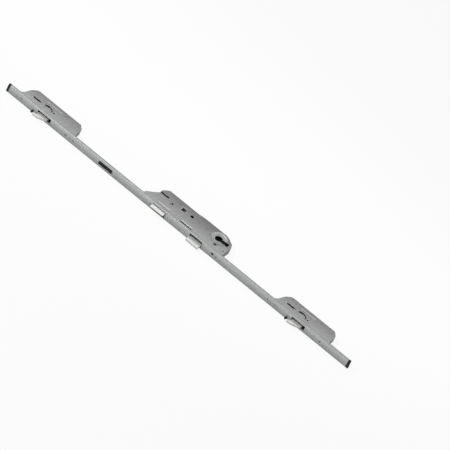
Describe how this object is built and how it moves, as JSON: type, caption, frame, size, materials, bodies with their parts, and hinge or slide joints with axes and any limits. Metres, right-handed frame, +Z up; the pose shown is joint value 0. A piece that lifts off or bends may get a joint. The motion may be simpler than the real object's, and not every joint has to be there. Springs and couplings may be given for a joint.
{
  "type": "multipoint door lock",
  "caption": "Multipoint door lock with a U-section steel faceplate, a main case with latch, deadbolt and follower, and two swinging-hook boxes driven by slides",
  "frame": {"origin": "Centre of the faceplate's front face at the height of the handle spindle.", "axes": "+Z runs up along the faceplate to the top of the door, the faceplate front faces -Y and the cases reach into the door along +Y, and the case covers face +X."},
  "size_m": [0.02, 0.0735, 0.9006],
  "materials": {
    "zinc_steel": "galvanised steel with a soft grain",
    "case_steel": "mid-grey zinc-plated sheet",
    "bright_steel": "bright nickel-like plating",
    "dark_steel": "plain hardened steel",
    "spring_steel": "spring wire and strip",
    "cast_zinc": "die-cast zinc",
    "black_plastic": "black moulded plastic"
  },
  "bodies": {
    "root": {"faceplate": "zinc_steel", "top_end_cap": "black_plastic", "bottom_end_cap": "black_plastic", "window_blank": "black_plastic", "rail_screws": "zinc_steel", "main_case_shell": "case_steel", "main_case_cover": "case_steel", "main_case_rivets": "dark_steel", "cylinder_ring": "zinc_steel", "latch_screw": "bright_steel", "follower_spring": "spring_steel", "detent_spring": "spring_steel", "upper_hook_shell": "case_steel", "upper_hook_cover": "case_steel", "upper_hook_rivets": "dark_steel", "upper_hook_pivot": "dark_steel", "upper_gap_stud": "black_plastic", "lower_hook_shell": "case_steel", "lower_hook_cover": "case_steel", "lower_hook_rivets": "dark_steel", "lower_hook_pivot": "dark_steel", "lower_gap_stud": "black_plastic"},
    "drive": {"main_slide": "zinc_steel", "upper_drive_bar": "zinc_steel", "lower_drive_bar": "zinc_steel", "bar_link_pins": "dark_steel", "upper_hook_slide": "zinc_steel", "upper_slide_guide_pin": "dark_steel", "lower_hook_slide": "zinc_steel", "lower_slide_guide_pin": "dark_steel"},
    "deadbolt": {"deadbolt": "bright_steel", "deadbolt_drive_pin": "dark_steel"},
    "upper_hook": {"upper_hook": "bright_steel", "upper_hook_drive_pin": "dark_steel"},
    "lower_hook": {"lower_hook": "bright_steel", "lower_hook_drive_pin": "dark_steel"},
    "latch": {"latch_head": "bright_steel", "latch_tail": "zinc_steel", "latch_spring": "spring_steel"},
    "follower": {"follower_hub": "cast_zinc"}
  },
  "joints": [
    {"name": "drive_slide", "type": "slide", "parent": "root", "child": "drive", "axis": [0, 0, 1], "range_m": [0, 0.018]},
    {"name": "deadbolt_slide", "type": "slide", "parent": "root", "child": "deadbolt", "axis": [0, 1, 0], "range_m": [0, 0.0128]},
    {"name": "upper_hook_turn", "type": "hinge", "parent": "root", "child": "upper_hook", "pos_m": [0, 0.012, 0.3455], "axis": [1, 0, 0], "range_deg": [0, 100]},
    {"name": "lower_hook_turn", "type": "hinge", "parent": "root", "child": "lower_hook", "pos_m": [0, 0.012, -0.3245], "axis": [1, 0, 0], "range_deg": [0, 100]},
    {"name": "follower_turn", "type": "hinge", "parent": "root", "child": "follower", "pos_m": [0, 0.04, 0], "axis": [-1, 0, 0], "range_deg": [0, 35], "stiffness_Nm_per_rad": 0.8, "deforming": ["follower_spring"]},
    {"name": "latch_slide", "type": "slide", "parent": "root", "child": "latch", "axis": [0, 1, 0], "range_m": [0, 0.011], "stiffness_N_per_m": 300}
  ],
  "couplings": [
    {"joint": "deadbolt_slide", "follows": "drive_slide", "ratio": 0.7111},
    {"joint": "upper_hook_turn", "follows": "drive_slide", "rad_per_m": 96.962},
    {"joint": "lower_hook_turn", "follows": "drive_slide", "rad_per_m": 96.962},
    {"joint": "follower_turn", "follows": "latch_slide", "rad_per_m": 55.53}
  ]
}
